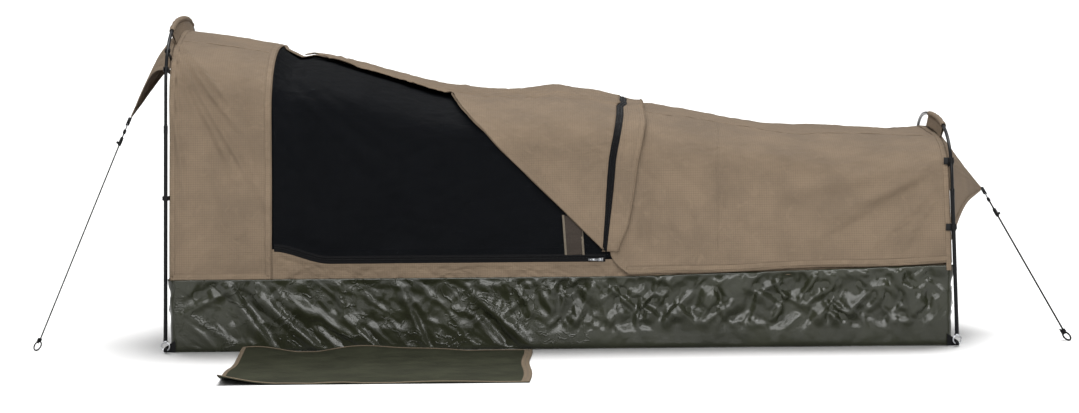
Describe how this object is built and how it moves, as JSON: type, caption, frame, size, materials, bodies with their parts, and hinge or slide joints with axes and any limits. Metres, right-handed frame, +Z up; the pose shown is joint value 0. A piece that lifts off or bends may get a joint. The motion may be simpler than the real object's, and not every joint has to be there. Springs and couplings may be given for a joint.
{
  "type": "swag bedroll",
  "caption": "Dome swag bedroll: PVC tub with a foam mattress, canvas canopy on two bowed poles, fly-net door, end awnings, guy lines and a mat.",
  "frame": {"origin": "middle of the tub's underside, on the ground", "axes": "+X from the sleeper's head to the foot, +Z up, the door on the -Y side"},
  "size_m": [2.8495, 1.647, 0.9023],
  "materials": {
    "floor_tub": "glossy",
    "mattress_foam": "matte",
    "mattress_cover": "matte",
    "head_side_panel": "matte",
    "lower_band": "matte",
    "mesh_door": "matte",
    "roof_panel": "matte",
    "far_side_panel": "matte",
    "side_panel": "matte",
    "door_flap": "matte",
    "flap_zip": "satin",
    "flap_storm_strip": "matte",
    "bottom_zip": "satin",
    "mesh_zip": "satin",
    "mesh_touch_tape": "matte",
    "head_end_wall": "matte",
    "head_vent_mesh": "matte",
    "foot_end_wall": "matte",
    "foot_vent_mesh": "matte",
    "head_near_corner_tab": "matte",
    "head_far_corner_tab": "matte",
    "foot_near_corner_tab": "matte",
    "foot_far_corner_tab": "matte",
    "head_pole_crown": "satin",
    "head_pole_near_leg": "satin",
    "head_pole_far_leg": "satin",
    "head_near_pin": "satin",
    "head_far_pin": "satin",
    "head_sleeve": "matte",
    "head_upper_near_clip": "satin",
    "head_upper_far_clip": "satin",
    "head_lower_near_clip": "satin",
    "head_lower_far_clip": "satin",
    "head_awning": "matte",
    "head_guy_webbing": "matte",
    "head_guy_elastic": "matte",
    "head_guy_toggle": "satin",
    "head_guy_rope": "matte",
    "foot_pole_crown": "satin",
    "foot_pole_near_leg": "satin",
    "foot_pole_far_leg": "satin",
    "foot_near_pin": "satin",
    "foot_far_pin": "satin",
    "foot_sleeve": "matte",
    "foot_upper_near_clip": "satin",
    "foot_upper_far_clip": "satin",
    "foot_lower_near_clip": "satin",
    "foot_lower_far_clip": "satin",
    "foot_awning": "matte",
    "foot_guy_webbing": "matte",
    "foot_guy_elastic": "matte",
    "foot_guy_toggle": "satin",
    "foot_guy_rope": "matte",
    "head_guy_adjuster": "satin",
    "foot_guy_adjuster": "satin",
    "door_slider": "satin",
    "door_slider_pull": "satin",
    "mesh_slider": "satin",
    "entry_mat": "satin"
  },
  "bodies": {
    "swag": {"floor_tub": "floor_tub", "mattress_foam": "mattress_foam", "mattress_cover": "mattress_cover", "head_side_panel": "head_side_panel", "lower_band": "lower_band", "mesh_door": "mesh_door", "roof_panel": "roof_panel", "far_side_panel": "far_side_panel", "side_panel": "side_panel", "door_flap": "door_flap", "flap_zip": "flap_zip", "flap_storm_strip": "flap_storm_strip", "bottom_zip": "bottom_zip", "mesh_zip": "mesh_zip", "mesh_touch_tape": "mesh_touch_tape", "head_end_wall": "head_end_wall", "head_vent_mesh": "head_vent_mesh", "foot_end_wall": "foot_end_wall", "foot_vent_mesh": "foot_vent_mesh", "head_near_corner_tab": "head_near_corner_tab", "head_far_corner_tab": "head_far_corner_tab", "foot_near_corner_tab": "foot_near_corner_tab", "foot_far_corner_tab": "foot_far_corner_tab"},
    "head_hoop": {"head_pole_crown": "head_pole_crown", "head_pole_near_leg": "head_pole_near_leg", "head_pole_far_leg": "head_pole_far_leg", "head_near_pin": "head_near_pin", "head_far_pin": "head_far_pin", "head_sleeve": "head_sleeve", "head_upper_near_clip": "head_upper_near_clip", "head_upper_far_clip": "head_upper_far_clip", "head_lower_near_clip": "head_lower_near_clip", "head_lower_far_clip": "head_lower_far_clip", "head_awning": "head_awning", "head_guy_webbing": "head_guy_webbing", "head_guy_elastic": "head_guy_elastic", "head_guy_toggle": "head_guy_toggle", "head_guy_rope": "head_guy_rope"},
    "foot_hoop": {"foot_pole_crown": "foot_pole_crown", "foot_pole_near_leg": "foot_pole_near_leg", "foot_pole_far_leg": "foot_pole_far_leg", "foot_near_pin": "foot_near_pin", "foot_far_pin": "foot_far_pin", "foot_sleeve": "foot_sleeve", "foot_upper_near_clip": "foot_upper_near_clip", "foot_upper_far_clip": "foot_upper_far_clip", "foot_lower_near_clip": "foot_lower_near_clip", "foot_lower_far_clip": "foot_lower_far_clip", "foot_awning": "foot_awning", "foot_guy_webbing": "foot_guy_webbing", "foot_guy_elastic": "foot_guy_elastic", "foot_guy_toggle": "foot_guy_toggle", "foot_guy_rope": "foot_guy_rope"},
    "head_runner": {"head_guy_adjuster": "head_guy_adjuster"},
    "foot_runner": {"foot_guy_adjuster": "foot_guy_adjuster"},
    "door_slider": {"door_slider": "door_slider"},
    "door_pull": {"door_slider_pull": "door_slider_pull"},
    "mesh_slider": {"mesh_slider": "mesh_slider"},
    "mat": {"entry_mat": "entry_mat"}
  },
  "joints": [
    {"name": "head_hoop_fold", "type": "hinge", "parent": "swag", "child": "head_hoop", "pos_m": [-1.075, 0, 0.0185], "axis": [0, 1, 0], "range_deg": [0, 70], "deforming": ["head_side_panel", "mesh_door", "roof_panel", "far_side_panel", "side_panel", "door_flap", "flap_zip", "flap_storm_strip", "mesh_touch_tape", "head_end_wall", "foot_end_wall", "head_vent_mesh", "foot_vent_mesh", "head_awning"]},
    {"name": "foot_hoop_fold", "type": "hinge", "parent": "swag", "child": "foot_hoop", "pos_m": [1.075, 0, 0.0185], "axis": [0, -1, 0], "range_deg": [0, 56], "deforming": ["foot_awning"]},
    {"name": "head_runner_slide", "type": "slide", "parent": "head_hoop", "child": "head_runner", "axis": [-0.3018, -0.4955, -0.8145], "range_m": [0, 0.55]},
    {"name": "foot_runner_slide", "type": "slide", "parent": "foot_hoop", "child": "foot_runner", "axis": [0.3491, -0.6222, -0.7007], "range_m": [0, 0.32]},
    {"name": "door_slider_slide", "type": "slide", "parent": "swag", "child": "door_slider", "axis": [-1, 0, 0], "range_m": [0, 0.6]},
    {"name": "door_pull_swing", "type": "hinge", "parent": "door_slider", "child": "door_pull", "pos_m": [0.109, -0.45815, 0.245], "axis": [0, 0, 1], "range_deg": [0, 170]},
    {"name": "mesh_slider_slide", "type": "slide", "parent": "swag", "child": "mesh_slider", "axis": [-1, 0, 0], "range_m": [0, 0.58]},
    {"name": "mat_lift", "type": "slide", "parent": "swag", "child": "mat", "axis": [0, 0, 1], "range_m": [0, 0.3]}
  ],
  "couplings": [
    {"joint": "foot_hoop_fold", "follows": "head_hoop_fold", "ratio": 0.8}
  ]
}
